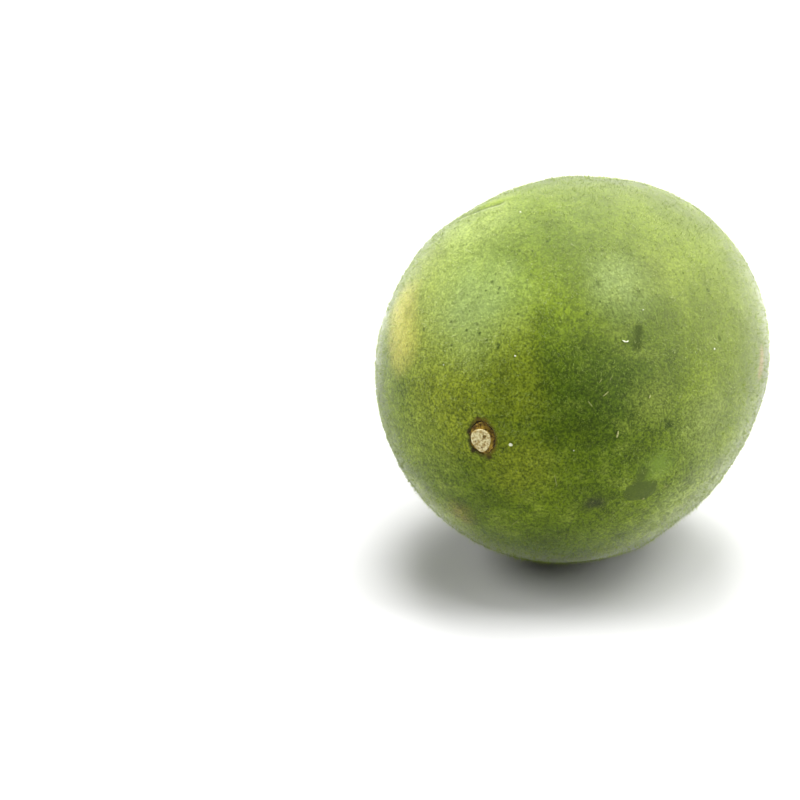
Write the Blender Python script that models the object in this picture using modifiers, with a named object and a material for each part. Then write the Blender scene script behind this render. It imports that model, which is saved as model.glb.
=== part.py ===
"""Monk fruit, whole and unpeeled, lying on its side with its cut stem stub towards -Y.

Metres, +Z up. The origin is under the middle of the fruit, on the surface that it rests on.
Both solids are turned round a local +Z that points out of the stem end. The root empty then
lays that axis along -Y, so local X stays world X and local Y becomes world Z.
"""

import math

import bmesh
import bpy
from mathutils import Vector

# The fruit's size and form
LENGTH = 0.0710
GIRTH = 0.0644
SQUASH = 0.0012
SQUASH_TURN = math.radians(45)
LOBES = 3
LOBE_RISE = 0.0006
LOBE_TURN = math.radians(38)
REST_FLAT_DEPTH = 0.0002

# Soft swellings and dents: turn round the stem axis from +X, angle from the stem end, rise and reach
SWELLINGS = [
    (math.radians(128), math.radians(91), -0.00060, math.radians(10)),
    (math.radians(158), math.radians(73), -0.00036, math.radians(13)),
    (math.radians(113), math.radians(99), -0.00018, math.radians(6)),
    (math.radians(88), math.radians(108), -0.00022, math.radians(9)),
    (math.radians(36), math.radians(124), -0.00024, math.radians(14)),
    (math.radians(-5), math.radians(115), 0.00024, math.radians(9)),
    (math.radians(-51), math.radians(87), -0.00120, math.radians(5)),
    (math.radians(-60), math.radians(77), 0.00026, math.radians(5)),
    (math.radians(-111), math.radians(59), 0.00018, math.radians(12)),
]

# The seat of the stem: a shallow dish round a blind socket. The stem and its seat are oval, narrower
# across local X than along local Y, and the plain skin takes that up over a short reach.
DISH_RADIUS = 0.00258
DISH_DEPTH = 0.00070
DISH_RIM_WIDTH = 0.00022
SOCKET_RADIUS = 0.00180
SOCKET_DEPTH = 0.00300
STEM_OVAL = 0.80
OVAL_REACH = 0.00400

# The scar at the blossom end: a low ring with a dimple inside it
SCAR_RADIUS = 0.0019
SCAR_RING_WIDTH = 0.0007
SCAR_RING_RISE = 0.00030
SCAR_DIMPLE_DEPTH = 0.00045

# The stem stub. Its cut face is rounder than its foot, stands a little aside and narrows to one end.
GAP = 0.00034
FACE_RADIUS = 0.00188
FACE_OVAL = 0.90
FACE_HEIGHT = 0.00105
FACE_CHAMFER = 0.00015
WAIST_RADIUS = 0.00145
WAIST_HEIGHT = 0.00040
COLLAR_THICKNESS = 0.00032
FACE_ASIDE = Vector((0.00025, -0.00010, 0.0))
FACE_TAPER = 0.25
FACE_TAPER_TURN = math.radians(100)

# How finely the shapes are divided
BODY_STEPS = 80
STUB_STEPS = 36
FIRST_RING_ANGLE = math.radians(1.3)
RING_ANGLE_GROWTH = 1.22
WIDEST_RING_ANGLE = math.radians(4.4)
FLAT_WELD = 0.00004

# Colours are linear RGB
SKIN_COLOUR = (0.160, 0.260, 0.035, 1.0)
SKIN_ROUGHNESS = 0.75
CORK_COLOUR = (0.300, 0.170, 0.060, 1.0)
CORK_ROUGHNESS = 0.85


def clear_scene():
    for old in list(bpy.data.objects):
        bpy.data.objects.remove(old, do_unlink=True)


def make_collection(name):
    collection = bpy.data.collections.new(name)
    bpy.context.scene.collection.children.link(collection)
    return collection


def make_material(name, colour, roughness):
    material = bpy.data.materials.new(name)
    material.use_nodes = True
    shader = material.node_tree.nodes["Principled BSDF"]
    shader.inputs["Base Color"].default_value = colour
    shader.inputs["Roughness"].default_value = roughness
    shader.inputs["Metallic"].default_value = 0.0
    return material


def turned_mesh(name, profile, steps):
    """The closed mesh that a profile of (radius, height) points, top to bottom, sweeps round local Z."""
    outline = bpy.data.meshes.new(name + "_outline")
    points = [(radius, 0.0, height) for radius, height in profile]
    edges = [(i, i + 1) for i in range(len(points) - 1)]
    outline.from_pydata(points, edges, [])
    turned = bpy.data.objects.new(name + "_outline", outline)
    bpy.context.scene.collection.objects.link(turned)
    screw = turned.modifiers.new("Turn", "SCREW")
    screw.axis = "Z"
    screw.angle = math.tau
    screw.steps = steps
    screw.render_steps = steps
    screw.use_merge_vertices = True
    screw.merge_threshold = 0.00001
    graph = bpy.context.evaluated_depsgraph_get()
    mesh = bpy.data.meshes.new_from_object(turned.evaluated_get(graph))
    mesh.name = name
    bpy.data.objects.remove(turned, do_unlink=True)
    bpy.data.meshes.remove(outline)
    return mesh


def skin_height(radius):
    """Height of the plain fruit's skin over a small radius round the stem end."""
    return LENGTH / 2 * math.sqrt(1 - (radius / (GIRTH / 2)) ** 2)


def ring_angles(start, end):
    """Angles from the stem end, closest together at both ends of the fruit."""
    from_start = [start]
    from_end = [end]
    step = FIRST_RING_ANGLE
    while from_end[-1] - from_start[-1] > 3 * step:
        from_start.append(from_start[-1] + step)
        from_end.append(from_end[-1] - step)
        step = min(step * RING_ANGLE_GROWTH, WIDEST_RING_ANGLE)
    middle = (from_start[-1] + from_end[-1]) / 2
    return from_start + [middle] + from_end[::-1]


def make_seat_oval(point):
    """Narrows the dish and the socket across local X, and fades that out in the skin round them."""
    radius = math.hypot(point.co.x, point.co.y)
    rim_radius = DISH_RADIUS + DISH_RIM_WIDTH
    fade = min(max((radius - rim_radius) / OVAL_REACH, 0.0), 1.0)
    share = 1 - fade * fade * (3 - 2 * fade)
    point.co.x *= 1 - (1 - STEM_OVAL) * share
    on_skin = radius > rim_radius - 0.5 * DISH_RIM_WIDTH
    if on_skin:
        point.co.z = skin_height(math.hypot(point.co.x, point.co.y))


def scar_relief(radius):
    ring = SCAR_RING_RISE * math.exp(-(((radius - SCAR_RADIUS) / SCAR_RING_WIDTH) ** 2))
    dimple = SCAR_DIMPLE_DEPTH * math.exp(-((radius / SCAR_RADIUS) ** 2) * 2)
    return ring - dimple


def body_profile():
    """From the middle of the socket's floor, over the rim and the skin, to the blossom end."""
    top = LENGTH / 2
    rim_radius = DISH_RADIUS + DISH_RIM_WIDTH
    profile = [
        (0.0, top - SOCKET_DEPTH),
        (SOCKET_RADIUS, top - SOCKET_DEPTH),
        (SOCKET_RADIUS, top - DISH_DEPTH),
        (DISH_RADIUS, top - DISH_DEPTH),
        (DISH_RADIUS + 0.2 * DISH_RIM_WIDTH, skin_height(rim_radius) - 0.5 * DISH_RIM_WIDTH),
    ]
    first = math.asin(rim_radius / (GIRTH / 2))
    for angle in ring_angles(first, math.pi):
        radius = GIRTH / 2 * math.sin(angle)
        height = top * math.cos(angle)
        if angle > math.pi / 2:
            height -= scar_relief(radius)
        profile.append((max(radius, 0.0), height))
    profile[-1] = (0.0, profile[-1][1])
    return profile


def swell(direction):
    """How far the skin stands out of the turned shape in this local direction."""
    sideways = math.hypot(direction.x, direction.y)
    turn = math.atan2(direction.y, direction.x)
    rise = LOBE_RISE * sideways**3 * math.cos(LOBES * (turn - LOBE_TURN))
    rise += SQUASH / 2 * sideways * math.cos(2 * (turn - SQUASH_TURN))
    for lump_turn, lump_angle, lump_rise, reach in SWELLINGS:
        middle = Vector(
            (
                math.sin(lump_angle) * math.cos(lump_turn),
                math.sin(lump_angle) * math.sin(lump_turn),
                math.cos(lump_angle),
            )
        )
        rise += lump_rise * math.exp(-((direction.angle(middle) / reach) ** 2))
    return rise


def flatten_rest(shape):
    """Cuts the small flat that the fruit lies on, square to local Y, and says how high local 0 stands."""
    level = min(point.co.y for point in shape.verts) + REST_FLAT_DEPTH
    cut = bmesh.ops.bisect_plane(
        shape,
        geom=shape.verts[:] + shape.edges[:] + shape.faces[:],
        plane_co=(0.0, level, 0.0),
        plane_no=(0.0, -1.0, 0.0),
        dist=FLAT_WELD,
        clear_outer=True,
    )
    rim = [part for part in cut["geom_cut"] if isinstance(part, bmesh.types.BMEdge)]
    for edge in rim:
        for point in edge.verts:
            point.co.y = level
    bmesh.ops.edgeloop_fill(shape, edges=rim)
    bmesh.ops.recalc_face_normals(shape, faces=shape.faces[:])
    return -level


def make_fruit_body(collection, root):
    mesh = turned_mesh("fruit_body", body_profile(), BODY_STEPS)
    shape = bmesh.new()
    shape.from_mesh(mesh)
    for point in shape.verts:
        if point.co.z > LENGTH / 4:
            make_seat_oval(point)
        outward = point.co.normalized()
        point.co += outward * swell(outward)
    height = flatten_rest(shape)
    shape.to_mesh(mesh)
    shape.free()
    mesh.shade_smooth()
    mesh.set_sharp_from_angle(angle=math.radians(40))
    mesh.materials.append(make_material("green_skin", SKIN_COLOUR, SKIN_ROUGHNESS))
    body = bpy.data.objects.new("fruit_body", mesh)
    collection.objects.link(body)
    body.parent = root
    return body, height


def stub_profile():
    """From the middle of the cut face, down the neck and over the collar, to the plug's floor."""
    top = LENGTH / 2
    plug_radius = SOCKET_RADIUS - GAP
    collar_radius = DISH_RADIUS - GAP
    collar_floor = top - DISH_DEPTH + GAP
    collar_top = collar_floor + COLLAR_THICKNESS
    return [
        (0.0, top + FACE_HEIGHT - FACE_CHAMFER),
        (0.5 * FACE_RADIUS, top + FACE_HEIGHT - 0.6 * FACE_CHAMFER),
        (FACE_RADIUS - FACE_CHAMFER, top + FACE_HEIGHT),
        (FACE_RADIUS, top + FACE_HEIGHT - FACE_CHAMFER),
        (WAIST_RADIUS, top + WAIST_HEIGHT),
        (WAIST_RADIUS + 0.3 * (collar_radius - WAIST_RADIUS), collar_top + 0.5 * COLLAR_THICKNESS),
        (collar_radius - 0.4 * COLLAR_THICKNESS, collar_top),
        (collar_radius, collar_top - 0.4 * COLLAR_THICKNESS),
        (collar_radius, collar_floor),
        (plug_radius, collar_floor),
        (plug_radius, top - SOCKET_DEPTH + GAP),
        (0.0, top - SOCKET_DEPTH + GAP),
    ]


def make_stem_stub(collection, root):
    mesh = turned_mesh("stem_stub", stub_profile(), STUB_STEPS)
    shape = bmesh.new()
    shape.from_mesh(mesh)
    taper_way = Vector((math.cos(FACE_TAPER_TURN), math.sin(FACE_TAPER_TURN), 0.0))
    across_way = Vector((-taper_way.y, taper_way.x, 0.0))
    for point in shape.verts:
        lift = max(0.0, (point.co.z - LENGTH / 2) / FACE_HEIGHT)
        point.co.x *= STEM_OVAL + lift * (FACE_OVAL - STEM_OVAL)
        widening = lift * FACE_TAPER * point.co.dot(taper_way) / FACE_RADIUS
        point.co += across_way * point.co.dot(across_way) * widening
        point.co += FACE_ASIDE * lift
    shape.to_mesh(mesh)
    shape.free()
    mesh.shade_smooth()
    mesh.set_sharp_from_angle(angle=math.radians(40))
    mesh.materials.append(make_material("corky_stem", CORK_COLOUR, CORK_ROUGHNESS))
    stub = bpy.data.objects.new("stem_stub", mesh)
    collection.objects.link(stub)
    stub.parent = root
    return stub


def middle_of(values):
    return (min(values) + max(values)) / 2


def stand_on_origin(root, pieces, height):
    """Lays the stem axis along -Y and puts the middle of all the pieces over the origin."""
    root.rotation_euler = (math.pi / 2, 0.0, 0.0)
    points = [point.co for piece in pieces for point in piece.data.vertices]
    root.location.x = -middle_of([point.x for point in points])
    root.location.y = middle_of([point.z for point in points])
    root.location.z = height


def main():
    clear_scene()
    collection = make_collection("monk_fruit")
    root = bpy.data.objects.new("monk_fruit_root", None)
    collection.objects.link(root)
    body, height = make_fruit_body(collection, root)
    stub = make_stem_stub(collection, root)
    stand_on_origin(root, [body, stub], height)


main()
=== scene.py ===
"""Looks of a whole green monk fruit lying on its side: velvety skin, fine hairs and a cut stem stub.

Every piece of the fruit is made in the fruit's own frame: local +Z points out of the stem end, local X is
world X and local Y is world Z. A place on the skin is a turn round the stem axis, from +X, and an angle
from the stem end, both in degrees. Lengths are metres.
"""

import math

import bmesh
import bpy
import numpy as np
from mathutils import Matrix, Vector, noise


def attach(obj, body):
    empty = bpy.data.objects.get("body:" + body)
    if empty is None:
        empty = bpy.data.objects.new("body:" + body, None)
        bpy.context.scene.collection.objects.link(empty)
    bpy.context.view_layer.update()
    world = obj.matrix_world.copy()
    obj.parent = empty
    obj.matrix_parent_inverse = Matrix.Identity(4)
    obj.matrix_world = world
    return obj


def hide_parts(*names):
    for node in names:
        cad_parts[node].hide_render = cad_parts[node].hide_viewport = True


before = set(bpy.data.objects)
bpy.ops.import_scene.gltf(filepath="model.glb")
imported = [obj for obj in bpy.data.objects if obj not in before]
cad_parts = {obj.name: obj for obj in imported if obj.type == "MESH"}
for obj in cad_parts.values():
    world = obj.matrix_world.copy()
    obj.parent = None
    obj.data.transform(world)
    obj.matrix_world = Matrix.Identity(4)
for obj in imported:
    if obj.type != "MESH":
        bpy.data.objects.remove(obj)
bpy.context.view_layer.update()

# The fruit's size and form, as the solids have them
LENGTH = 0.0710
GIRTH = 0.0644
SQUASH = 0.0012
SQUASH_TURN = math.radians(45)
LOBES = 3
LOBE_RISE = 0.0006
LOBE_TURN = math.radians(38)

# Soft swellings and dents: the place, the rise, and the reach in degrees
SWELLINGS = [
    ((128, 91), -0.00060, 10),
    ((158, 73), -0.00036, 13),
    ((113, 99), -0.00018, 6),
    ((88, 108), -0.00022, 9),
    ((36, 124), -0.00024, 14),
    ((-5, 115), 0.00024, 9),
    ((-51, 87), -0.00120, 5),
    ((-60, 77), 0.00026, 5),
    ((-111, 59), 0.00018, 12),
]

# The seat of the stem, the scar at the blossom end and the stem stub, as the solids have them
DISH_RADIUS = 0.00258
DISH_DEPTH = 0.00070
DISH_RIM_WIDTH = 0.00022
DISH_RIM_RADIUS = DISH_RADIUS + DISH_RIM_WIDTH
SOCKET_RADIUS = 0.00180
SOCKET_DEPTH = 0.00300
STEM_OVAL = 0.80
OVAL_REACH = 0.00400
SCAR_RADIUS = 0.0019
SCAR_RING_WIDTH = 0.0007
SCAR_RING_RISE = 0.00030
SCAR_DIMPLE_DEPTH = 0.00045
SCAR_NUB_RISE = 0.00040
SCAR_NUB_RADIUS = 0.00040
GAP = 0.00034
PLUG_RADIUS = SOCKET_RADIUS - GAP
PLUG_FLOOR = LENGTH / 2 - SOCKET_DEPTH + GAP
FACE_RADIUS = 0.00188
FACE_OVAL = 0.90
FACE_HEIGHT = 0.00105
FACE_LEVEL = LENGTH / 2 + FACE_HEIGHT
FACE_ASIDE = Vector((0.00025, -0.00010, 0.0))
FACE_TAPER = 0.25
FACE_TAPER_TURN = math.radians(100)
WAIST_RADIUS = 0.00145
WAIST_HEIGHT = 0.00040

# How finely the skin is divided, and its unevenness
SKIN_STEPS = 400
SKIN_RING = 0.00060
END_RING = 0.00012
RING_GROWTH = 1.08
UNEVEN_RISE = 0.00007
UNEVEN_SIZE = 0.007
RIM_RAGGEDNESS = 0.00024
RIM_REACH = 0.00060

# The crease high on the left side, and the lip beside it
CREASE = [(127, 80), (119, 77.8), (110.5, 78.2)]
CREASE_LINES = list(zip(CREASE, CREASE[1:]))
CREASE_DEPTH = 0.00034
CREASE_WIDTH = 0.00060
LIP = [(121, 83), (107, 81)]
LIP_RISE = 0.00014
LIP_WIDTH = 0.00120

# The camera: the photograph's viewing angle, aimed so that the fruit stands right of the picture's middle
VIEW_TURN = math.radians(26.87)
VIEW_RISE = math.radians(21.55)
VIEW_DISTANCE = 0.453
FRUIT_RIGHT_OF_AIM = 0.02894
FRUIT_ABOVE_AIM = 0.00571
LENS_MM = 121.5
SENSOR_MM = 36.0

# A point of the stub this near the plug's floor is on it
PLUG_FLOOR_TOLERANCE = 0.00001

# Slack for rounding
ROUNDING = 1e-7


def find_centre():
    """The fruit's middle in the world. It lies on the stem axis, straight behind the plug's flat floor."""
    points = [point.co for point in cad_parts["stem_stub"].data.vertices]
    floor = max(point.y for point in points)
    rim = [point for point in points if point.y > floor - PLUG_FLOOR_TOLERANCE]
    across = (min(point.x for point in rim) + max(point.x for point in rim)) / 2
    height = (min(point.z for point in rim) + max(point.z for point in rim)) / 2
    return Vector((across, floor + PLUG_FLOOR, height))


CENTRE = find_centre()
FRUIT_FRAME = Matrix.Translation(CENTRE) @ Matrix.Rotation(math.pi / 2, 4, "X")


def srgb(red, green, blue):
    """A display colour, 0 to 255, as linear RGBA."""
    channels = []
    for value in (red, green, blue):
        value = value / 255
        channels.append(value / 12.92 if value <= 0.04045 else ((value + 0.055) / 1.055) ** 2.4)
    return (*channels, 1.0)


def direction(place):
    """The local direction of a place on the skin."""
    turn, angle = np.radians(place)
    return np.array([math.sin(angle) * math.cos(turn), math.sin(angle) * math.sin(turn), math.cos(angle)])


def swell(ways):
    """How far the skin stands out of the turned shape, for rows of local unit directions."""
    sideways = np.hypot(ways[:, 0], ways[:, 1])
    turn = np.arctan2(ways[:, 1], ways[:, 0])
    rise = LOBE_RISE * sideways**3 * np.cos(LOBES * (turn - LOBE_TURN))
    rise += SQUASH / 2 * sideways * np.cos(2 * (turn - SQUASH_TURN))
    for place, lump_rise, reach in SWELLINGS:
        apart = np.degrees(np.arccos(np.clip(ways @ direction(place), -1, 1)))
        rise += lump_rise * np.exp(-((apart / reach) ** 2))
    return rise


def skin_point(place):
    """The local point on the smooth skin at a place."""
    way = direction(place)
    sideways = math.hypot(way[0], way[1])
    reach = 1 / math.hypot(sideways / (GIRTH / 2), way[2] / (LENGTH / 2))
    return way * (reach + swell(way[None, :])[0])


def skin_height(radius):
    """Height of the plain fruit's skin over a small radius round the stem end."""
    return LENGTH / 2 * np.sqrt(1 - (radius / (GIRTH / 2)) ** 2)


def smooth_step(values, low, high):
    share = np.clip((values - low) / (high - low), 0, 1)
    return share * share * (3 - 2 * share)


def distance_to_line(points, line):
    """Each point's distance from the straight line between two places on the skin."""
    start, end = (skin_point(place) for place in line)
    along = end - start
    share = np.clip((points - start) @ along / (along @ along), 0, 1)
    return np.linalg.norm(points - start - share[:, None] * along, axis=1)


def unit(rows):
    return rows / np.linalg.norm(rows, axis=1)[:, None]


def add_piece(name, mesh, material):
    """Puts a smooth mesh in the fruit's frame, as an object that rides on the part's only body."""
    mesh.materials.append(material)
    mesh.shade_smooth()
    piece = bpy.data.objects.new(name, mesh)
    bpy.context.scene.collection.objects.link(piece)
    piece.matrix_world = FRUIT_FRAME
    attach(piece, "root")
    return piece


def new_piece(name, points, faces, material):
    mesh = bpy.data.meshes.new(name)
    mesh.from_pydata(np.asarray(points).tolist(), [], faces)
    return add_piece(name, mesh, material)


def add_bake_map(piece, corners):
    layer = piece.data.uv_layers.new(name="OFBake")
    layer.data.foreach_set("uv", np.asarray(corners, np.float32).ravel())


def turned_grid(profile, steps):
    """Points, faces and bake-map corners of the shape that rows of (radius, height) sweep round local Z.

    The first and last rows lie on the axis, and the bake map runs once round and once down the profile.
    """
    profile = np.asarray(profile)
    turn = np.arange(steps) * (math.tau / steps)
    inner = profile[1:-1]
    rows = len(inner)
    x = inner[:, 0, None] * np.cos(turn)
    y = inner[:, 0, None] * np.sin(turn)
    z = np.repeat(inner[:, 1, None], steps, axis=1)
    points = np.stack([x, y, z], axis=2).reshape(-1, 3)
    points = np.vstack([points, (0, 0, profile[0, 1]), (0, 0, profile[-1, 1])])
    top = rows * steps
    bottom = top + 1
    along = np.concatenate([[0], np.cumsum(np.linalg.norm(np.diff(profile, axis=0), axis=1))])
    along = 1 - along / along[-1]
    faces = []
    corners = []
    for step in range(steps):
        left = step / steps
        right = (step + 1) / steps
        near = (step + 1) % steps
        faces.append((top, step, near))
        corners += [((left + right) / 2, along[0]), (left, along[1]), (right, along[1])]
        for row in range(rows - 1):
            upper = row * steps
            lower = upper + steps
            faces.append((upper + step, lower + step, lower + near, upper + near))
            high = along[row + 1]
            low = along[row + 2]
            corners += [(left, high), (left, low), (right, low), (right, high)]
        last = (rows - 1) * steps
        faces.append((bottom, last + near, last + step))
        corners += [((left + right) / 2, along[-1]), (right, along[-2]), (left, along[-2])]
    return points, faces, corners


class Paint:
    """Builds one material's nodes. Each method that makes a node returns its output socket."""

    def __init__(self, name):
        self.material = bpy.data.materials.new(name)
        self.material.use_nodes = True
        self.nodes = self.material.node_tree.nodes
        self.shader = self.nodes["Principled BSDF"]
        self.place = self.nodes.new("ShaderNodeTexCoord").outputs["Object"]

    def put(self, socket, value):
        if isinstance(value, bpy.types.NodeSocket):
            self.material.node_tree.links.new(value, socket)
        else:
            socket.default_value = value

    def finish(self, **values):
        """Sets the shader's sockets, with underscores for spaces, and gives the material."""
        for name, value in values.items():
            self.put(self.shader.inputs[name.replace("_", " ")], value)
        return self.material

    def noise_node(self, size, detail, roughness, shift):
        node = self.nodes.new("ShaderNodeTexNoise")
        node.noise_dimensions = "4D"
        self.put(node.inputs["Vector"], self.place)
        node.inputs["W"].default_value = shift
        node.inputs["Scale"].default_value = 1 / size
        node.inputs["Detail"].default_value = detail
        node.inputs["Roughness"].default_value = roughness
        return node

    def noise(self, size, shift, detail=2.0, roughness=0.5):
        return self.noise_node(size, detail, roughness, shift).outputs["Fac"]

    def cells(self, size, place=None):
        """The distance from the middle of the nearest cell, in cells, and a random value for each cell."""
        node = self.nodes.new("ShaderNodeTexVoronoi")
        self.put(node.inputs["Vector"], place or self.place)
        node.inputs["Scale"].default_value = 1 / size
        return node.outputs["Distance"], node.outputs["Color"]

    def math(self, operation, first, second=0.0):
        node = self.nodes.new("ShaderNodeMath")
        node.operation = operation
        self.put(node.inputs[0], first)
        self.put(node.inputs[1], second)
        return node.outputs[0]

    def vector(self, operation, first, second=None, scale=None, output=0):
        node = self.nodes.new("ShaderNodeVectorMath")
        node.operation = operation
        self.put(node.inputs[0], first)
        if second is not None:
            self.put(node.inputs[1], second)
        if scale is not None:
            self.put(node.inputs["Scale"], scale)
        return node.outputs[output]

    def fit(self, value, low, high, to_low=0.0, to_high=1.0):
        """Maps low..high smoothly to to_low..to_high."""
        node = self.nodes.new("ShaderNodeMapRange")
        node.interpolation_type = "SMOOTHSTEP"
        self.put(node.inputs["Value"], value)
        node.inputs["From Min"].default_value = low
        node.inputs["From Max"].default_value = high
        node.inputs["To Min"].default_value = to_low
        node.inputs["To Max"].default_value = to_high
        return node.outputs["Result"]

    def mix(self, share, first, second, blend="MIX"):
        node = self.nodes.new("ShaderNodeMix")
        node.data_type = "RGBA"
        node.blend_type = blend
        self.put(node.inputs["Factor"], share)
        self.put(node.inputs[6], first)
        self.put(node.inputs[7], second)
        return node.outputs[2]

    def wobbled(self, size, reach, shift):
        """The local place, moved about by a noise, so that edges drawn from it are ragged."""
        moved = self.noise_node(size, 3.0, 0.6, shift).outputs["Color"]
        moved = self.vector("SUBTRACT", moved, (0.5, 0.5, 0.5))
        moved = self.vector("SCALE", moved, scale=reach)
        return self.vector("ADD", self.place, moved)

    def wobbled_length(self, length, size, shift, reach):
        """A length made longer and shorter by a noise."""
        change = self.math("SUBTRACT", self.noise(size, shift, 3.0, 0.6), 0.5)
        return self.math("ADD", length, self.math("MULTIPLY", change, reach))

    def away(self, point, place=None):
        """The distance from a local point."""
        return self.vector("DISTANCE", place or self.place, tuple(point), output=1)

    def away_from_line(self, start, end, place=None):
        """The distance from a straight line between two local points."""
        along = Vector(end) - Vector(start)
        offset = self.vector("SUBTRACT", place or self.place, tuple(start))
        share = self.vector("DOT_PRODUCT", offset, tuple(along / along.length_squared), output=1)
        share = self.math("MINIMUM", self.math("MAXIMUM", share, 0.0), 1.0)
        nearest = self.vector("SCALE", tuple(along), scale=share)
        return self.vector("DISTANCE", offset, nearest, output=1)

    def along(self, way, place=None):
        """How far a place lies in a local direction."""
        return self.vector("DOT_PRODUCT", place or self.place, tuple(way), output=1)

    def from_stem_axis(self, place):
        """The distance from the stem axis, measured so that the stem's oval seat is round."""
        return self.vector("LENGTH", self.vector("MULTIPLY", place, (1 / STEM_OVAL, 1, 0)), output=1)

    def patch(self, ends, inner, outer, strength=1.0, place=None):
        """Full strength near one place on the skin, or near the line between two, and 0 further off."""
        ends = [skin_point(end) for end in ends]
        distance = self.away(*ends, place) if len(ends) == 1 else self.away_from_line(*ends, place)
        return self.fit(distance, inner, outer, strength, 0.0)

    def bump(self, height, strength, depth):
        node = self.nodes.new("ShaderNodeBump")
        node.inputs["Strength"].default_value = strength
        node.inputs["Distance"].default_value = depth
        self.put(node.inputs["Height"], height)
        return node.outputs["Normal"]


# Colours of the skin's broad areas
DEEP_GREEN = srgb(81, 101, 8)
LEAF_GREEN = srgb(103, 123, 12)
SHADE_GREEN = srgb(60, 82, 6)
PALE_GREEN = srgb(144, 160, 62)
DARK_GAP = srgb(50, 64, 4)
OLIVE = srgb(124, 136, 30)
# A pale painted sheen, for patches where the light grazes the velvet
PALE_PAINTED_SHEEN = srgb(148, 162, 92)
YELLOW = srgb(178, 171, 76)
DUST = srgb(144, 163, 100)
# A grey-green painted sheen, for the side that the lights graze
PAINTED_SHEEN_GREY = srgb(103, 107, 76)
RUSTY = srgb(120, 84, 44)

# Colours of the marks, the pits, the stem's seat and the scar
PINK = srgb(196, 132, 106)
FRESH_GREEN = srgb(114, 140, 52)
SMUDGE_GREEN = srgb(54, 66, 22)
SMUDGE_GREY = srgb(46, 52, 26)
STAIN_OLIVE = srgb(66, 81, 20)
PIT_DARK = srgb(40, 56, 10)
BROWN = srgb(98, 82, 24)
DARK_BROWN = srgb(84, 60, 24)
RIM_DARK = srgb(40, 36, 10)
BARK_BROWN = srgb(50, 36, 14)
SCAR_TAN = srgb(140, 112, 62)

# Sizes of the broad areas, the mottling and the grain
BROAD_SIZE = 0.016
MOTTLE_SIZE = 0.0050
GRAIN_SIZE = 0.00038

# What the grain's dim and lit dots multiply the skin's colour by
GRAIN_DIM = (0.38, 0.41, 0.28, 1.0)
GRAIN_LIT = (1.82, 1.72, 2.20, 1.0)

# Soft patches: one place or a line's two ends, the inner and outer radius, the strength and the colour.
# Some are painted shade or painted sheen, as marked above their rows
SOFT_PATCHES = [
    ([(24, 35)], 0.003, 0.0180, 0.88, SHADE_GREEN),
    ([(-18, 34)], 0.001, 0.0120, 0.55, SHADE_GREEN),
    # Painted shade low on the fruit
    ([(-66, 38)], 0.001, 0.0150, 0.70, SHADE_GREEN),
    ([(26, 54)], 0.001, 0.0110, 0.30, SHADE_GREEN),
    ([(14, 46)], 0.001, 0.0065, 0.35, PALE_GREEN),
    ([(-122, 42)], 0.001, 0.0110, 0.60, PALE_GREEN),
    ([(-165, 20)], 0.001, 0.0130, 0.30, PALE_GREEN),
    ([(138, 16)], 0.002, 0.0150, 0.75, OLIVE),
    ([(-38, 11)], 0.002, 0.0085, 0.70, OLIVE),
    ([(80, 29), (54, 16)], 0.001, 0.0065, 0.45, OLIVE),
    ([(178, 6)], 0.002, 0.0055, 0.50, OLIVE),
    ([(140, 36)], 0.001, 0.0090, 0.45, OLIVE),
    ([(-112, 31)], 0.000, 0.0045, 0.45, RUSTY),
    # The next four rows are painted sheen, on the upper left and on the right side
    ([(135, 50)], 0.001, 0.0190, 0.45, PALE_PAINTED_SHEEN),
    ([(118, 70)], 0.001, 0.0110, 0.35, PALE_PAINTED_SHEEN),
    ([(106, 60)], 0.001, 0.0110, 0.20, PALE_PAINTED_SHEEN),
    ([(-1, 65)], 0.001, 0.0085, 0.30, PALE_PAINTED_SHEEN),
    ([(49, 70)], 0.001, 0.0065, 0.30, PALE_GREEN),
    ([(31, 70)], 0.001, 0.0090, 0.30, SHADE_GREEN),
    # Painted sheen on the lower right side
    ([(-32, 74)], 0.001, 0.0140, 0.50, PALE_PAINTED_SHEEN),
    ([(136, 56), (144, 38)], 0.001, 0.0100, 0.40, OLIVE),
    ([(55, 55)], 0.001, 0.0080, 0.45, DUST),
    # Painted shade on the top, where the lights from above fall strongest
    ([(80, 73)], 0.001, 0.0110, 0.55, SHADE_GREEN),
]

# Places of the single marks, each of them one place or a line's two ends
YELLOW_PATCH = [(147.5, 50), (153, 38)]
DUSTY_PATCH = [(105, 34)]
BLUSH = [(11, 97), (6, 96)]
FRESH_PATCH = [(-12, 48.8)]
DARK_SMUDGE = [(40.2, 50.6), (35.6, 47.6)]
GREY_SMUDGE = [(-34.4, 35.3)]
BARE_STAIN = [(-24.4, 44.8), (-23.4, 48.4)]
BARE_STAIN_TAIL = [(-20.3, 44.4), (-14.5, 44.4)]

# The place of the blossom end
BLOSSOM_END = (0, 180)

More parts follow.
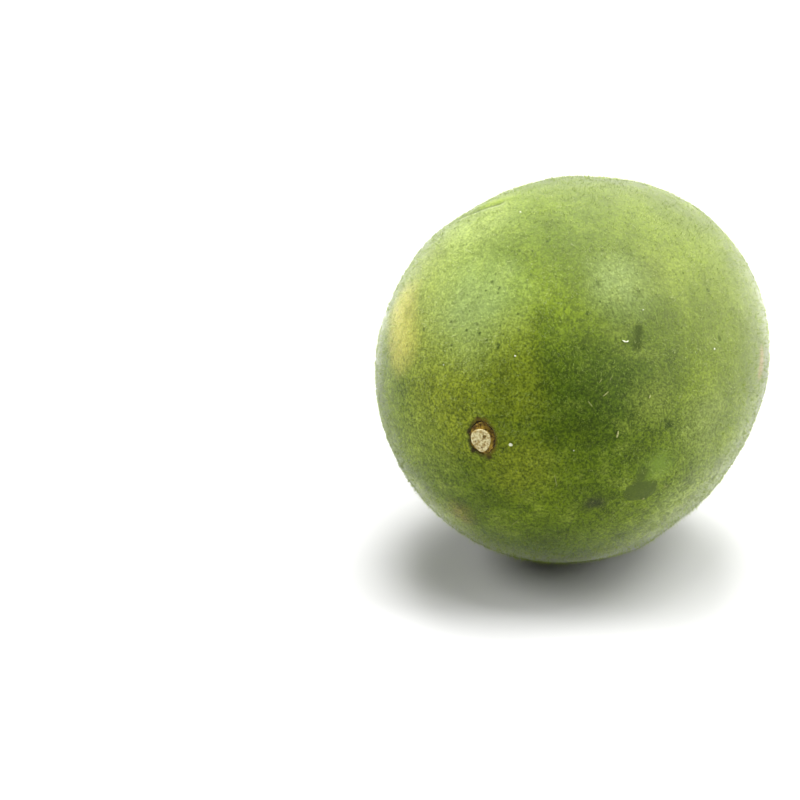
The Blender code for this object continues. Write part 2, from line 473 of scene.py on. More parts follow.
# Dark pits in the skin: the place, and the radius
PITS = [
    ((84.4, 57.5), 0.00036),
    ((87.7, 52.9), 0.00032),
    ((94.4, 39.7), 0.00034),
    ((100.7, 38.7), 0.00028),
    ((98.9, 41.7), 0.00034),
    ((118.8, 31.9), 0.00028),
    ((109.1, 28.1), 0.00032),
    ((100.8, 26.9), 0.00034),
    ((96.2, 25.3), 0.00030),
    ((120.4, 25.4), 0.00028),
    ((86.5, 24.2), 0.00034),
    ((53.2, 30.1), 0.00034),
    ((4.0, 50.3), 0.00085),
    ((11.4, 39.7), 0.00050),
    ((-15.3, 62.0), 0.00038),
    ((47.5, 35.6), 0.00036),
    ((34.7, 39.5), 0.00040),
    ((156.0, 8.2), 0.00026),
    ((128.5, 8.4), 0.00022),
    ((42.5, 10.7), 0.00030),
    ((27.7, 11.0), 0.00032),
    ((-20.5, 6.4), 0.00030),
    ((-132.0, 10.4), 0.00024),
    ((41.0, 39.0), 0.00028),
    ((39.3, 35.1), 0.00022),
    ((28.4, 14.1), 0.00034),
    ((-0.4, 42.2), 0.00036),
    ((-6.7, 37.7), 0.00024),
    ((60.3, 29.1), 0.00022),
]

# A distance from the nearest pit, in its radii, that is beyond its reach
FAR_FROM_PITS = 9.0

# Pits scattered over the whole skin: the spacing, the radius, and the least random value that bears one
SMALL_PITS = [
    (0.0034, 0.00042, 0.62),
    (0.0010, 0.00020, 0.66),
    (0.0006, 0.00010, 0.74),
]

# Stains where bark tore off round the stem's seat: the place, and the radius
TORN_BARK = [
    ((-71, 5.4), 0.00080),
    ((-122, 4.8), 0.00066),
    ((166, 4.3), 0.00052),
    ((104, 5.0), 0.00060),
]


def broad_colour(paint, blurred):
    """The green of the skin with its soft patches, some of which are painted shade or painted sheen."""
    colour = paint.mix(paint.fit(paint.noise(BROAD_SIZE, 3.1), 0.35, 0.65), DEEP_GREEN, LEAF_GREEN)
    for ends, inner, outer, strength, tint in SOFT_PATCHES:
        colour = paint.mix(paint.patch(ends, inner, outer, strength, blurred), colour, tint)
    return colour


def mottled(paint, colour):
    """The colour with soft dark and pale mottling, bolder low on the fruit."""
    boldness = paint.fit(paint.along((0, 1, 0)), -0.022, 0.024, 0.50, 0.30)
    mottle = paint.noise(MOTTLE_SIZE, 7.7, 4.0, 0.7)
    low = paint.math("MULTIPLY", paint.fit(mottle, 0.34, 0.52, 0.90, 0.0), boldness)
    high = paint.math("MULTIPLY", paint.fit(mottle, 0.50, 0.68, 0.0, 0.65), boldness)
    return paint.mix(high, paint.mix(low, colour, DARK_GAP), PALE_GREEN)


def grained(paint, colour, grain):
    """The colour with the velvet's fine grain, bolder on the side below the stem."""
    boldness = paint.fit(paint.along(direction((-75, 38))), 0.000, 0.026, 0.45, 0.80)
    low = paint.math("MULTIPLY", paint.fit(grain, 0.38, 0.52, 1.0, 0.0), boldness)
    high = paint.math("MULTIPLY", paint.fit(grain, 0.50, 0.64, 0.0, 1.0), boldness)
    colour = paint.mix(low, colour, GRAIN_DIM, "MULTIPLY")
    return paint.mix(high, colour, GRAIN_LIT, "MULTIPLY")


def marked(paint, colour, ragged):
    """The colour with the blush, the fresh patch, the smudges, the stain, and painted shade along the
    crease.
    """
    crumpled = paint.wobbled(0.0014, 0.0011, 6.6)
    marks = [
        (BLUSH, 0.0002, 0.0022, 0.24, ragged, PINK),
        (FRESH_PATCH, 0.0004, 0.0046, 0.55, ragged, FRESH_GREEN),
        (DARK_SMUDGE, 0.0002, 0.0012, 0.85, crumpled, SMUDGE_GREEN),
        (GREY_SMUDGE, 0.0002, 0.0028, 0.95, ragged, SMUDGE_GREY),
        (BARE_STAIN, 0.0017, 0.0022, 0.86, crumpled, STAIN_OLIVE),
        (BARE_STAIN_TAIL, 0.0003, 0.0016, 0.80, crumpled, STAIN_OLIVE),
    ]
    # Painted shade: a dark line along the bottom of the crease
    marks += [(line, 0.0001, 0.0008, 0.80, None, DARK_GAP) for line in CREASE_LINES]
    for ends, inner, outer, strength, place, tint in marks:
        colour = paint.mix(paint.patch(ends, inner, outer, strength, place), colour, tint)
    return colour


def pitted(paint, colour, ragged, frayed):
    """The colour with the dark pits, both the ones with places of their own and the scattered ones."""
    nearest = FAR_FROM_PITS
    for place, radius in PITS:
        reach = paint.math("DIVIDE", paint.away(skin_point(place), frayed), radius)
        nearest = paint.math("MINIMUM", reach, nearest)
    colour = paint.mix(paint.fit(nearest, 0.2, 1.4, 0.82, 0.0), colour, PIT_DARK)
    for (size, radius, least), place in zip(SMALL_PITS, (ragged, None, None)):
        distance, chance = paint.cells(size, place=place)
        dots = paint.fit(distance, 0.5 * radius / size, 1.3 * radius / size, 0.60, 0.0)
        dots = paint.math("MULTIPLY", dots, paint.fit(chance, least, least + 0.05))
        colour = paint.mix(dots, colour, PIT_DARK)
    return colour


def stained_seat(paint, colour, frayed):
    """The colour with the torn bark, the brown rim with painted shadow on its left side, and the brown
    inside of the stem's seat.
    """
    from_axis = paint.from_stem_axis(frayed)
    stem_side = paint.fit(paint.along((0, 0, 1)), 0.0, 0.001)
    for place, radius in TORN_BARK:
        bark = paint.patch([place], 0.4 * radius, 1.1 * radius, 0.9, frayed)
        colour = paint.mix(bark, colour, BARK_BROWN)
    rim = paint.fit(from_axis, DISH_RIM_RADIUS + 0.0001, DISH_RIM_RADIUS + 0.0008, 0.80, 0.0)
    # Painted shadow: the rim turns dark on its left side
    shaded = paint.fit(paint.along((-0.9, -0.3, 0), frayed), -0.0006, 0.0020)
    rim_colour = paint.mix(shaded, BROWN, RIM_DARK)
    colour = paint.mix(paint.math("MULTIPLY", rim, stem_side), colour, rim_colour)
    inside = paint.fit(from_axis, DISH_RADIUS - 0.0002, DISH_RIM_RADIUS, 1.0, 0.0)
    return paint.mix(paint.math("MULTIPLY", inside, stem_side), colour, DARK_BROWN)


def scarred(paint, colour, frayed):
    """The colour with the tan scar of the blossom end and its dark middle."""
    from_scar = paint.away(skin_point(BLOSSOM_END), frayed)
    tint = paint.mix(paint.fit(paint.noise(0.0005, 6.7, 3.0), 0.42, 0.58), DARK_BROWN, SCAR_TAN)
    colour = paint.mix(paint.fit(from_scar, 0.0015, 0.0027, 0.9, 0.0), colour, tint)
    return paint.mix(paint.fit(from_scar, 0.0003, 0.0007, 0.9, 0.0), colour, RIM_DARK)


def skin_material():
    paint = Paint("velvety_skin")
    ragged = paint.wobbled(0.0030, 0.0030, 5.3)
    blurred = paint.wobbled(0.0080, 0.0080, 9.1)
    frayed = paint.wobbled(0.0009, 0.0013, 4.1)
    grain = paint.noise(GRAIN_SIZE, 1.7, 2.0, 0.7)
    yellow = paint.patch(YELLOW_PATCH, 0.0002, 0.0066, 0.88, ragged)
    dust = paint.patch(DUSTY_PATCH, 0.001, 0.0125, 0.60, blurred)

    # The yellow and the dust lie partly under the grain and partly over it
    colour = broad_colour(paint, blurred)
    colour = paint.mix(paint.math("MULTIPLY", yellow, 0.60), colour, YELLOW)
    colour = paint.mix(paint.math("MULTIPLY", dust, 0.55), colour, DUST)
    colour = grained(paint, mottled(paint, colour), grain)
    colour = paint.mix(paint.math("MULTIPLY", yellow, 0.50), colour, YELLOW)
    colour = paint.mix(paint.math("MULTIPLY", dust, 0.50), colour, DUST)

    # A painted sheen over the upper right side, where the lights graze the velvet: a dull grey-green veil
    # mixed into the colour
    painted_sheen = paint.fit(paint.along(direction((45, 108))), 0.000, 0.034, 0.0, 0.46)
    colour = marked(paint, paint.mix(painted_sheen, colour, PAINTED_SHEEN_GREY), ragged)
    colour = pitted(paint, colour, ragged, frayed)
    colour = scarred(paint, stained_seat(paint, colour, frayed), frayed)
    return paint.finish(
        Base_Color=colour,
        Roughness=0.75,
        Normal=paint.bump(grain, 0.3, 0.0002),
        Sheen_Weight=0.65,
        Sheen_Roughness=0.34,
        Sheen_Tint=(0.93, 0.90, 0.94, 1.0),
        Specular_IOR_Level=0.1,
    )


def scar_relief(radius):
    ring = SCAR_RING_RISE * np.exp(-(((radius - SCAR_RADIUS) / SCAR_RING_WIDTH) ** 2))
    dimple = SCAR_DIMPLE_DEPTH * np.exp(-((radius / SCAR_RADIUS) ** 2) * 2)
    nub = SCAR_NUB_RISE * np.exp(-((radius / SCAR_NUB_RADIUS) ** 2))
    return ring - dimple + nub


def growing_angles(start, first_step, stop):
    """Angles from start towards stop, by steps that widen up to the skin's usual ring."""
    angles = [start]
    step = first_step
    while angles[-1] + step < stop:
        angles.append(angles[-1] + step)
        step = min(step * RING_GROWTH, SKIN_RING / (LENGTH / 2))
    return np.array(angles)


def skin_profile():
    """Radius and height from the middle of the socket's floor to the blossom end."""
    top = LENGTH / 2
    floor = top - SOCKET_DEPTH
    seat = top - DISH_DEPTH
    rows = [(0.0, floor)]
    rows += [(SOCKET_RADIUS * share, floor) for share in np.linspace(0.3, 1, 4)]
    rows += [(SOCKET_RADIUS, floor + (seat - floor) * share) for share in np.linspace(0.2, 1, 5)]
    rows += [(radius, seat) for radius in np.linspace(SOCKET_RADIUS, DISH_RADIUS, 7)[1:]]
    rise = skin_height(DISH_RIM_RADIUS) - seat
    for turn in np.linspace(0, math.pi / 2, 8)[1:-1]:
        radius = DISH_RIM_RADIUS - DISH_RIM_WIDTH * math.cos(turn)
        rows.append((radius, seat + rise * math.sin(turn)))
    stem_half = growing_angles(math.asin(DISH_RIM_RADIUS / (GIRTH / 2)), END_RING / top, math.pi / 2)
    far_half = math.pi - growing_angles(END_RING / top, END_RING / top, math.pi / 2)[::-1]
    rows += [(GIRTH / 2 * math.sin(angle), top * math.cos(angle)) for angle in stem_half]
    for angle in far_half:
        radius = GIRTH / 2 * math.sin(angle)
        rows.append((radius, top * math.cos(angle) - scar_relief(radius)))
    rows.append((0.0, -top - scar_relief(0.0)))
    return rows


def make_seat_oval(points):
    """Narrows the dish and the socket across local X, with a ragged rim, and fades that out in the skin."""
    radius = np.hypot(points[:, 0], points[:, 1])
    near_stem = points[:, 2] > LENGTH / 4
    share = 1 - smooth_step(radius, DISH_RIM_RADIUS, DISH_RIM_RADIUS + OVAL_REACH)
    narrow = 1 - (1 - STEM_OVAL) * share * near_stem
    on_skin = near_stem & (radius > DISH_RIM_RADIUS - ROUNDING)
    turns = np.arctan2(points[:, 1], points[:, 0])
    ways = [Vector((math.cos(turn), math.sin(turn), 0.3)) for turn in turns]
    ragged = np.array([noise.fractal(way * 3, 0.8, 2.2, 3) for way in ways])
    at_rim = near_stem * np.exp(-(((radius - DISH_RIM_RADIUS) / RIM_REACH) ** 2))
    stretch = 1 + RIM_RAGGEDNESS / DISH_RIM_RADIUS * ragged * at_rim
    points[:, 0] *= narrow * stretch
    points[:, 1] *= stretch
    points[on_skin, 2] = skin_height(np.hypot(points[on_skin, 0], points[on_skin, 1]))


def make_skin():
    points, faces, corners = turned_grid(skin_profile(), SKIN_STEPS)
    make_seat_oval(points)
    ways = unit(points)
    rise = swell(ways)
    uneven = np.array([noise.noise(Vector(point) / UNEVEN_SIZE) for point in points])
    off_seat = smooth_step(np.hypot(points[:, 0], points[:, 1]), DISH_RIM_RADIUS, 3 * DISH_RIM_RADIUS)
    rise += UNEVEN_RISE * uneven * off_seat
    points += ways * rise[:, None]
    from_crease = np.min([distance_to_line(points, line) for line in CREASE_LINES], axis=0)
    points -= ways * (CREASE_DEPTH * np.exp(-((from_crease / CREASE_WIDTH) ** 2)))[:, None]
    from_lip = distance_to_line(points, LIP)
    points += ways * (LIP_RISE * np.exp(-((from_lip / LIP_WIDTH) ** 2)))[:, None]
    points[:, 1] = np.maximum(points[:, 1], -CENTRE.z)
    skin = new_piece("fruit_skin", points, faces, skin_material())
    add_bake_map(skin, corners)
    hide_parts("fruit_body")
    return skin


# The velvet: hairs are slender closed needles that grow in tufts
FUZZ_SETS = 4
FUZZ_SEED = 40
TUFTS_PER_SET = 9_400
HAIRS_PER_TUFT = 5
TUFT_SPREAD = 0.00020
TUFT_LEAN = (math.radians(10), math.radians(65))
COMB_SIZE = 0.006
COMB_SHIFTS = [(0.0, 0.0, 0.0), (17.3, 5.1, 2.9), (4.7, 23.6, 11.4)]
COMB_STRAY = 0.30
HAIR_STRAY = 0.30
HAIR_LEAST_RISE = 0.15
HAIR_LENGTH = (0.00020, 0.00060)
LONG_HAIR_LENGTH = (0.00060, 0.00115)
LONG_HAIR_SHARE = 0.08
HAIR_RADIUS = 0.000014
LONG_HAIR_RADIUS = 0.000026
HAIR_ROOT_DEPTH = 0.00004
HAIR_FACES = np.array([[0, 2, 1], [0, 1, 3], [1, 2, 3], [2, 0, 3]])
SEAT_CLEARANCE = 0.00035
FLOOR_CLEARANCE = 0.00001
REST_SPOT_CLEARANCE = 0.00005

# Where no hairs grow: a line, bare within the first distance and fully haired beyond the second
BARE_LINES = [
    (BARE_STAIN, 0.0014, 0.0019),
    (BARE_STAIN_TAIL, 0.0004, 0.0012),
    *((line, 0.0002, 0.0009) for line in CREASE_LINES),
]

# Colours of the hairs at the root, and at the tip for each set, and the tints that shade them: painted
# shade on the lower side, painted light on the upper side, and a darker green over the skin's dark middle
# patch
FUZZ_ROOT = srgb(132, 152, 66)
FUZZ_TIPS = [srgb(214, 222, 146), srgb(196, 208, 116), srgb(228, 234, 172), srgb(176, 192, 98)]
PAINTED_SHADE_TINT = (0.84, 0.88, 0.58, 1.0)
PAINTED_LIGHT_TINT = (1.06, 1.04, 1.22, 1.0)
CENTRE_TINT = (0.54, 0.64, 0.28, 1.0)
DARK_CENTRE = [(24, 31)]


def fuzz_material(number):
    paint = Paint(f"fuzz_{number + 1}")
    tip = paint.nodes.new("ShaderNodeAttribute")
    tip.attribute_name = "tip"
    colour = paint.mix(paint.fit(tip.outputs["Fac"], 0.1, 0.9), FUZZ_ROOT, FUZZ_TIPS[number])
    shade = paint.fit(paint.noise(0.004, 2.2 + number), 0.3, 0.7, 0.85, 1.05)
    # Painted light and shade: the hairs are paler on the upper side and darker on the lower side
    tint = paint.mix(paint.fit(paint.along((0, 1, 0)), -0.018, 0.028), PAINTED_SHADE_TINT, PAINTED_LIGHT_TINT)
    tint = paint.mix(paint.patch(DARK_CENTRE, 0.003, 0.024, 0.95), tint, CENTRE_TINT)
    colour = paint.mix(1.0, colour, paint.mix(1.0, tint, shade, "MULTIPLY"), "MULTIPLY")
    return paint.finish(Base_Color=colour, Roughness=0.6, Specular_IOR_Level=0.3)


def read_rows(items, name, kind):
    """One value of three numbers from each of a mesh's items, as rows."""
    values = np.empty(len(items) * 3, kind)
    items.foreach_get(name, values)
    return values.reshape(-1, 3)


def read_mesh(mesh):
    """Points, normals and triangles of a mesh."""
    points = read_rows(mesh.vertices, "co", np.float32).astype(float)
    normals = read_rows(mesh.vertices, "normal", np.float32).astype(float)
    mesh.calc_loop_triangles()
    return points, normals, read_rows(mesh.loop_triangles, "vertices", np.int32)


def hair_chance(points, triangles):
    """How likely each triangle is to bear a tuft: by its area, and never on what stays bare."""
    first, second, third = (points[triangles[:, i]] for i in range(3))
    area = np.linalg.norm(np.cross(second - first, third - first), axis=1) / 2
    middle = (first + second + third) / 3
    from_axis = np.hypot(middle[:, 0] / STEM_OVAL, middle[:, 1])
    off_seat = (middle[:, 2] < 0) | (from_axis > DISH_RIM_RADIUS + SEAT_CLEARANCE)
    off_scar = (middle[:, 2] > 0) | (from_axis > SCAR_RADIUS)
    off_floor = middle[:, 1] > -CENTRE.z + REST_SPOT_CLEARANCE
    haired = 1.0
    for line, near, far in BARE_LINES:
        haired = haired * smooth_step(distance_to_line(middle, line), near, far)
    chance = area * off_seat * off_scar * off_floor * haired
    return chance / chance.sum()


def hair_map(count):
    """Bake-map corners of the hairs, which share a grid of cells, with three sides and a base in each."""
    grid = 16
    cell = np.arange(count) % (grid * grid)
    origin = np.stack([cell % grid, cell // grid], axis=1) / grid
    edge = np.linspace(0.1, 0.9, 4)
    sides = []
    for side in range(3):
        middle = (edge[side] + edge[side + 1]) / 2
        sides.append([(edge[side], 0.2), (edge[side + 1], 0.2), (middle, 0.9)])
    pattern = np.array([[(0.1, 0.05), (0.9, 0.05), (0.5, 0.15)], *sides]) / grid
    return origin[:, None, None, :] + pattern[None]


def combed_way(point):
    """A direction that changes smoothly over the skin, so that neighbouring tufts lean alike."""
    return [noise.noise(Vector(point) / COMB_SIZE + Vector(shift)) for shift in COMB_SHIFTS]


def grow_tufts(random, points, normals, triangles, chance):
    """Each hair's tuft: its root on the skin, the way out, a way aside, and the way that it leans."""
    chosen = triangles[random.choice(len(triangles), TUFTS_PER_SET, p=chance)]
    weights = random.dirichlet((1, 1, 1), TUFTS_PER_SET)
    roots = np.einsum("ij,ijk->ik", weights, points[chosen])
    outward = unit(np.einsum("ij,ijk->ik", weights, normals[chosen]))
    combed = np.array([combed_way(root) for root in roots])
    aside = unit(np.cross(outward, combed + random.normal(scale=COMB_STRAY, size=combed.shape)))
    lean = random.uniform(*TUFT_LEAN, TUFTS_PER_SET)[:, None]
    way = outward * np.cos(lean) + np.cross(aside, outward) * np.sin(lean)
    return [np.repeat(rows, HAIRS_PER_TUFT, axis=0) for rows in (roots, outward, aside, way)]


def grow_hairs(random, tufts, outward, aside, tuft_way):
    """Four points for each hair: three round its base, and its tip."""
    count = len(tufts)
    across = np.cross(outward, aside)
    spread = random.normal(scale=TUFT_SPREAD, size=(count, 2))
    roots = tufts + aside * spread[:, :1] + across * spread[:, 1:]
    way = unit(tuft_way + random.normal(scale=HAIR_STRAY, size=(count, 3)))
    sunk = np.maximum(HAIR_LEAST_RISE - np.sum(way * outward, axis=1), 0)
    way = unit(way + outward * sunk[:, None])
    length = random.uniform(*HAIR_LENGTH, count)
    long = random.random(count) < LONG_HAIR_SHARE
    length[long] = random.uniform(*LONG_HAIR_LENGTH, long.sum())
    thickness = np.where(long, LONG_HAIR_RADIUS, HAIR_RADIUS)[:, None]
    base = roots - outward * HAIR_ROOT_DEPTH
    spin = random.uniform(0, math.tau, count)
    hairs = np.empty((count, 4, 3))
    for side, turn in enumerate(np.arange(3) * math.tau / 3):
        around = (spin + turn)[:, None]
        hairs[:, side] = base + thickness * (aside * np.cos(around) + across * np.sin(around))
    hairs[:, 3] = roots + way * length[:, None]
    hairs[:, :, 1] = np.maximum(hairs[:, :, 1], -CENTRE.z + FLOOR_CLEARANCE)
    return hairs


def make_fuzz(skin):
    points, normals, triangles = read_mesh(skin.data)
    chance = hair_chance(points, triangles)
    for number in range(FUZZ_SETS):
        random = np.random.default_rng(FUZZ_SEED + number)
        hairs = grow_hairs(random, *grow_tufts(random, points, normals, triangles, chance))
        count = len(hairs)
        faces = (np.arange(count)[:, None, None] * 4 + HAIR_FACES).reshape(-1, 3).tolist()
        material = fuzz_material(number)
        fuzz = new_piece(f"skin_fuzz_{number + 1}", hairs.reshape(-1, 3), faces, material)
        fuzz.data.shade_flat()
        tip = fuzz.data.attributes.new("tip", "FLOAT", "POINT")
        tip.data.foreach_set("value", np.tile(np.array([0, 0, 0, 1], np.float32), count))
        add_bake_map(fuzz, hair_map(count))


# The stem stub's finer surface
STUB_STEPS = 120
FACE_EDGE = 0.00016
COLLAR_RADIUS = DISH_RADIUS - 0.00002
COLLAR_FLOOR = LENGTH / 2 - DISH_DEPTH + 0.00010
COLLAR_TOP = LENGTH / 2 + 0.00004
COLLAR_EDGE = 0.00012
COLLAR_SPREAD = 0.00030
COLLAR_WALL = 0.00020
COLLAR_SHRINK = 0.00008
TORN_LIP_RISE = 0.00030

# The sizes of the stub's roughness and lumps, and how far they stand out on its sides, collar and face
ROUGH_SIZE = 0.00045
LUMP_SIZE = 0.0011
SIDE_ROUGH = 0.00004
SIDE_LUMPS = 0.00006
COLLAR_ROUGH = 0.00010
COLLAR_LUMPS = 0.00020
FACE_ROUGH = 0.00006
FACE_LUMPS = 0.00005

# The small hole in the cut face
STUB_HOLE = Vector((0.00085, 0.00075))
STUB_HOLE_RADIUS = 0.00020
STUB_HOLE_DEPTH = 0.00035

# Colours of the stem stub
CREAM = srgb(218, 210, 162)
TAN = srgb(166, 144, 88)
PORE_BROWN = srgb(98, 68, 30)
HOLE_BLACK = srgb(28, 20, 10)
OCHRE = srgb(178, 146, 58)
COLLAR_OLIVE = srgb(140, 120, 44)
# Dark bark, which also serves as painted shadow at the collar's edge
BARK_AND_SHADOW_DARK = srgb(58, 38, 14)

# Brown spots on the cut face: local X and Y, and the radius
STUB_SPOTS = [
    ((0.00042, -0.00118), 0.00022),
    ((-0.00062, -0.00030), 0.00016),
    ((0.00090, -0.00060), 0.00014),
]


def bark_colour(paint, ragged):
    """The ochre side of the stub, with dark bark in patches towards the collar's edge, and the same dark
    painted all along that edge on the lower left as shadow.
    """
    side = paint.mix(paint.fit(paint.noise(0.0009, 4.4, 3.0, 0.6), 0.40, 0.60), OCHRE, COLLAR_OLIVE)
    side = paint.mix(paint.fit(paint.noise(0.0006, 6.1, 4.0, 0.7), 0.46, 0.58, 0.0, 0.85), side, BARK_AND_SHADOW_DARK)
    from_axis = paint.wobbled_length(paint.from_stem_axis(ragged), 0.0007, 3.7, 0.0008)
    patches = paint.fit(paint.noise(0.0016, 5.2, 2.0), 0.44, 0.58)
    # Painted shadow: the collar's edge is dark all along its lower left side
    below = paint.fit(paint.along((-0.8, -0.6, 0)), 0.0004, 0.0018)
    outer = paint.fit(from_axis, 0.0021, 0.0026, 0.0, 0.8)
    return paint.mix(paint.math("MULTIPLY", outer, paint.math("MAXIMUM", patches, below)), side, BARK_AND_SHADOW_DARK)


def face_colour(paint, ragged):
    """The cream cut face with its pores, brown spots and dark hole, and tan where it is sunk."""
    face = paint.mix(paint.fit(paint.noise(0.0005, 8.3, 4.0, 0.65), 0.42, 0.58), TAN, CREAM)
    distance, chance = paint.cells(0.00036)
    pores = paint.fit(distance, 0.12, 0.34, 0.70, 0.0)
    face = paint.mix(paint.math("MULTIPLY", pores, paint.fit(chance, 0.62, 0.67)), face, PORE_BROWN)
    for spot, radius in STUB_SPOTS:
        stain = paint.away((*spot, FACE_LEVEL), ragged)
        face = paint.mix(paint.fit(stain, 0.4 * radius, 1.2 * radius, 0.9, 0.0), face, PORE_BROWN)
    from_hole = paint.away((*STUB_HOLE, FACE_LEVEL))
    hole = paint.fit(from_hole, 0.9 * STUB_HOLE_RADIUS, 1.7 * STUB_HOLE_RADIUS, 1.0, 0.0)
    face = paint.mix(hole, face, HOLE_BLACK)
    sunk = paint.fit(paint.along((0, 0, 1)), FACE_LEVEL - 0.00014, FACE_LEVEL - 0.00002, 0.7, 0.0)
    return paint.mix(sunk, face, TAN)


def stub_material():
    paint = Paint("cut_stem")
    ragged = paint.wobbled(0.0006, 0.0004, 2.9)
    on_face = paint.fit(paint.along((0, 0, 1), ragged), FACE_LEVEL - 0.00028, FACE_LEVEL - 0.00012)
    return paint.finish(
        Base_Color=paint.mix(on_face, bark_colour(paint, ragged), face_colour(paint, ragged)),
        Roughness=0.85,
        Normal=paint.bump(paint.noise(0.00025, 3.3, 3.0), 0.6, 0.0001),
        Specular_IOR_Level=0.2,
    )


def stub_profile():
    """From the middle of the cut face, down the neck and over the collar, to the plug's floor."""
    rows = [(radius, FACE_LEVEL) for radius in np.linspace(0, FACE_RADIUS - FACE_EDGE, 22)]
    for turn in np.linspace(0, math.pi / 2, 6)[1:]:
        radius = FACE_RADIUS - FACE_EDGE + FACE_EDGE * math.sin(turn)
        rows.append((radius, FACE_LEVEL - FACE_EDGE + FACE_EDGE * math.cos(turn)))
    waist = LENGTH / 2 + WAIST_HEIGHT
    for share in np.linspace(0, 1, 8)[1:]:
        radius = FACE_RADIUS + (WAIST_RADIUS - FACE_RADIUS) * smooth_step(share, 0, 1)
        rows.append((radius, FACE_LEVEL - FACE_EDGE + (waist - FACE_LEVEL + FACE_EDGE) * share))
    flare = COLLAR_RADIUS - COLLAR_EDGE
    for turn in np.linspace(0, math.pi / 2, 16)[1:]:
        radius = WAIST_RADIUS + (flare - WAIST_RADIUS) * (1 - math.cos(turn))
        rows.append((radius, waist + (COLLAR_TOP - waist) * math.sin(turn)))
    for turn in np.linspace(0, math.pi / 2, 5)[1:]:
        radius = flare + COLLAR_EDGE * math.sin(turn)
        rows.append((radius, COLLAR_TOP - COLLAR_EDGE * (1 - math.cos(turn))))
    rows += [(COLLAR_RADIUS, height) for height in np.linspace(COLLAR_TOP - COLLAR_WALL, COLLAR_FLOOR, 4)]
    rows += [(radius, COLLAR_FLOOR) for radius in np.linspace(COLLAR_RADIUS, PLUG_RADIUS, 4)[1:]]
    rows += [(PLUG_RADIUS, height) for height in np.linspace(COLLAR_FLOOR, PLUG_FLOOR, 5)[1:]]
    rows.append((0.0, PLUG_FLOOR))
    return rows


def shape_face(points, lift):
    """Makes the stub oval, and its cut face tapered and a little aside, more so with height."""
    points[:, 0] *= STEM_OVAL + lift * (FACE_OVAL - STEM_OVAL)
    taper_way = np.array([math.cos(FACE_TAPER_TURN), math.sin(FACE_TAPER_TURN), 0])
    across_way = np.array([-taper_way[1], taper_way[0], 0])
    widening = lift * FACE_TAPER * (points @ taper_way) / FACE_RADIUS
    points += across_way * (points @ across_way * widening)[:, None]
    points += np.array(FACE_ASIDE) * lift[:, None]


def make_stub():
    points, faces, corners = turned_grid(stub_profile(), STUB_STEPS)
    lift = np.clip((points[:, 2] - LENGTH / 2) / FACE_HEIGHT, 0, 1)
    above = smooth_step(points[:, 2], COLLAR_FLOOR, COLLAR_TOP)
    radius = np.hypot(points[:, 0], points[:, 1])
    below_waist = 1 - smooth_step(lift, 0.3, 0.6)
    collar = above * smooth_step(radius, WAIST_RADIUS, COLLAR_RADIUS) * below_waist
    shape_face(points, lift)

    # The rough sides, the collar's torn lip and the lumpy cut face with its hole
    rough = np.array([noise.noise(Vector(point) / ROUGH_SIZE) for point in points])
    lumps = np.array([noise.noise(Vector(point) / LUMP_SIZE) for point in points])
    outward = points * (1, 1, 0)
    outward /= np.maximum(np.linalg.norm(outward, axis=1), 1e-6)[:, None]
    face = smooth_step(lift, 0.93, 1.0)
    sides = above * (1 - face)
    out = sides * (SIDE_ROUGH * rough + SIDE_LUMPS * lumps - COLLAR_SHRINK * collar)
    points += outward * out[:, None]
    lip = smooth_step(radius, 0.8 * COLLAR_RADIUS, COLLAR_RADIUS) * below_waist
    lip *= smooth_step(points[:, 2], COLLAR_FLOOR + TORN_LIP_RISE, COLLAR_TOP)
    around = unit(points * (1, 1, 0) + 1e-9)
    places = [Vector(way) * 3 + Vector((0, 0, 5)) for way in around]
    torn = np.array([noise.fractal(place, 0.7, 2.1, 3) for place in places])
    points += outward * (COLLAR_SPREAD * lip * np.clip(0.5 + 0.9 * torn, 0, 1))[:, None]
    points[:, 2] += collar * (COLLAR_LUMPS * lumps + COLLAR_ROUGH * rough)
    points[:, 2] += face * (FACE_ROUGH * rough + FACE_LUMPS * lumps)
    from_hole = np.hypot(points[:, 0] - STUB_HOLE.x, points[:, 1] - STUB_HOLE.y)
    points[:, 2] -= face * STUB_HOLE_DEPTH * np.exp(-((from_hole / STUB_HOLE_RADIUS) ** 2))
    stub = new_piece("stem_stub_cut", points, faces, stub_material())
    add_bake_map(stub, corners)
    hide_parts("stem_stub")


# Pale specks of lint: the place on the skin, and the radius. The shift gives each a shape of its own
SPECKS = [
    ((-4.6, 7.8), 0.00025),
    ((73.4, 23.3), 0.00015),
    ((130.5, 21.6), 0.00009),
    ((44.2, 55.0), 0.00011),
    ((22.0, 70.1), 0.00014),
    ((99.6, 69.3), 0.00016),
    ((-3.5, 23.9), 0.00010),
]
SPECK_SEED = 7
SPECK_ROUGHNESS = 0.4
SPECK_SHIFT = 999

# Straw-coloured flecks: the two ends and the radius
FLECKS = [
    ((2.8, 35.0), (6.2, 35.5), 0.00015),
    ((-27.8, 48.4), (-27.0, 48.9), 0.00012),
    ((16.2, 45.2), (17.2, 45.8), 0.00010),
    ((24.0, 33.4), (25.0, 35.4), 0.00006),
    ((24.8, 29.5), (21.1, 30.1), 0.00005),
]

# Pale loose fibres that lie on the skin: the two ends
FIBRES = [
    ((30.4, 34.0), (31.6, 35.2)),
    ((29.2, 36.8), (30.4, 37.6)),
    ((-34.2, 50.4), (-32.2, 51.8)),
    ((-31.4, 52.2), (-33.8, 52.6)),
    ((-22.8, 54.0), (-21.2, 55.4)),
    ((-21.0, 53.6), (-22.6, 55.2)),
    ((-80.0, 29.0), (-74.0, 27.0)),
    ((-24.8, 20.7), (-34.0, 23.4)),
]
FIBRE_RADIUS = 0.000035

# A white chip shaped like a V: its tip, corner and other tip, and the radius
CHIP = [(40.2, 45.0), (38.9, 45.5), (38.8, 46.3)]
CHIP_RADIUS = 0.00010


